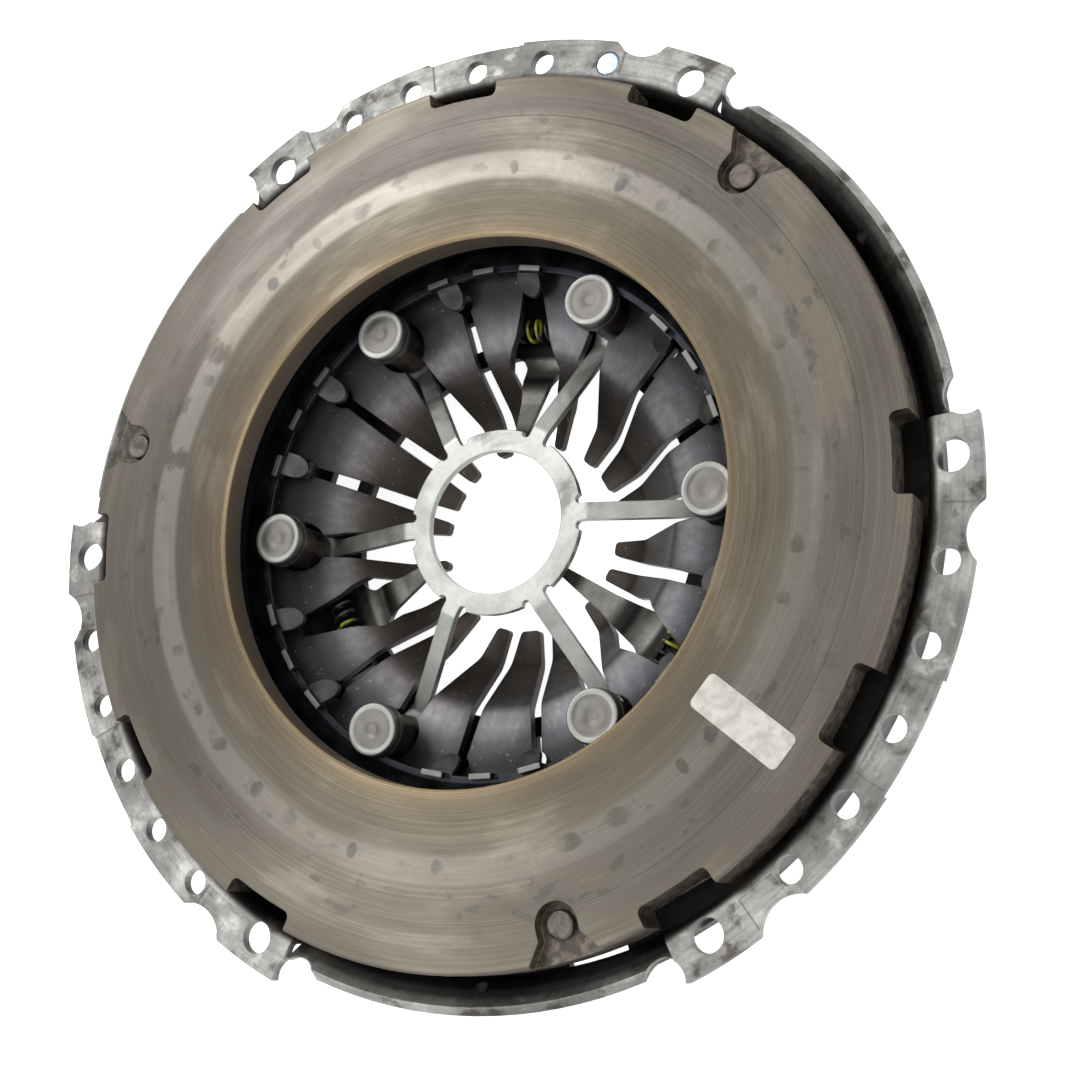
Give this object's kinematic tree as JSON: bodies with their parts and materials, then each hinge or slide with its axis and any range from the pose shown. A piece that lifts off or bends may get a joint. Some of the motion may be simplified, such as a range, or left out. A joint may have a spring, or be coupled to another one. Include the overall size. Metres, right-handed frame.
{
  "type": "clutch pressure plate",
  "caption": "Self-adjusting diaphragm clutch pressure plate: drawn steel cover, flat friction ring on leaf straps, fingered diaphragm spring and wear take-up ring",
  "frame": {"origin": "on the rotation axis, in the plane of the cover's flange face that bolts to the flywheel", "axes": "+Z along the rotation axis towards the flywheel, so the friction face is on top; +X through the middle of one arch of the flange"},
  "size_m": [0.2766, 0.2836, 0.0497],
  "materials": {
    "cover_steel": "satin",
    "cast_iron_face": "satin",
    "spring_steel": "satin",
    "adjuster_steel": "satin",
    "coil_wire": "satin",
    "stop_steel": "satin",
    "bolt_steel": "satin",
    "strap_steel": "satin",
    "rivet_steel": "satin",
    "plug_steel": "polished",
    "foil": "satin"
  },
  "bodies": {
    "cover": {"cover_housing": "cover_steel", "travel_stop": "stop_steel", "sensor_spring": "spring_steel", "step_bolt_1": "bolt_steel", "step_bolt_2": "bolt_steel", "step_bolt_3": "bolt_steel", "step_bolt_4": "bolt_steel", "step_bolt_5": "bolt_steel", "step_bolt_6": "bolt_steel", "adjuster_spring_1": "coil_wire", "adjuster_spring_2": "coil_wire", "adjuster_spring_3": "coil_wire", "strap_1_leaf_1": "strap_steel", "strap_1_leaf_2": "strap_steel", "strap_1_leaf_3": "strap_steel", "strap_2_leaf_1": "strap_steel", "strap_2_leaf_2": "strap_steel", "strap_2_leaf_3": "strap_steel", "strap_3_leaf_1": "strap_steel", "strap_3_leaf_2": "strap_steel", "strap_3_leaf_3": "strap_steel", "cover_strap_rivet_1": "rivet_steel", "cover_strap_rivet_2": "rivet_steel", "cover_strap_rivet_3": "rivet_steel", "balance_rivet": "plug_steel"},
    "plate": {"pressure_plate": "cast_iron_face", "plate_strap_rivet_1": "rivet_steel", "plate_strap_rivet_2": "rivet_steel", "plate_strap_rivet_3": "rivet_steel", "blank_label": "foil"},
    "diaphragm": {"diaphragm_spring": "spring_steel"},
    "adjuster": {"adjuster_ring": "adjuster_steel"}
  },
  "joints": [
    {"name": "plate_travel", "type": "slide", "parent": "cover", "child": "plate", "axis": [0, 0, 1], "range_m": [-0.007, 0], "stiffness_N_per_m": 20000, "springref_m": 0.015, "deforming": ["diaphragm_spring", "strap_1_leaf_1", "strap_1_leaf_2", "strap_1_leaf_3", "strap_2_leaf_1", "strap_2_leaf_2", "strap_2_leaf_3", "strap_3_leaf_1", "strap_3_leaf_2", "strap_3_leaf_3"]},
    {"name": "wear_feed", "type": "slide", "parent": "cover", "child": "diaphragm", "axis": [0, 0, 1], "range_m": [-0.002, 0], "stiffness_N_per_m": 5000, "springref_m": 0.01, "deforming": ["sensor_spring"]},
    {"name": "adjuster_turn", "type": "hinge", "parent": "diaphragm", "child": "adjuster", "pos_m": [0, 0, -0.025], "axis": [0, 0, 1], "range_deg": [-10, 0], "deforming": ["adjuster_spring_1", "adjuster_spring_2", "adjuster_spring_3"]}
  ],
  "couplings": [
    {"joint": "adjuster_turn", "follows": "wear_feed", "rad_per_m": 87.2}
  ]
}
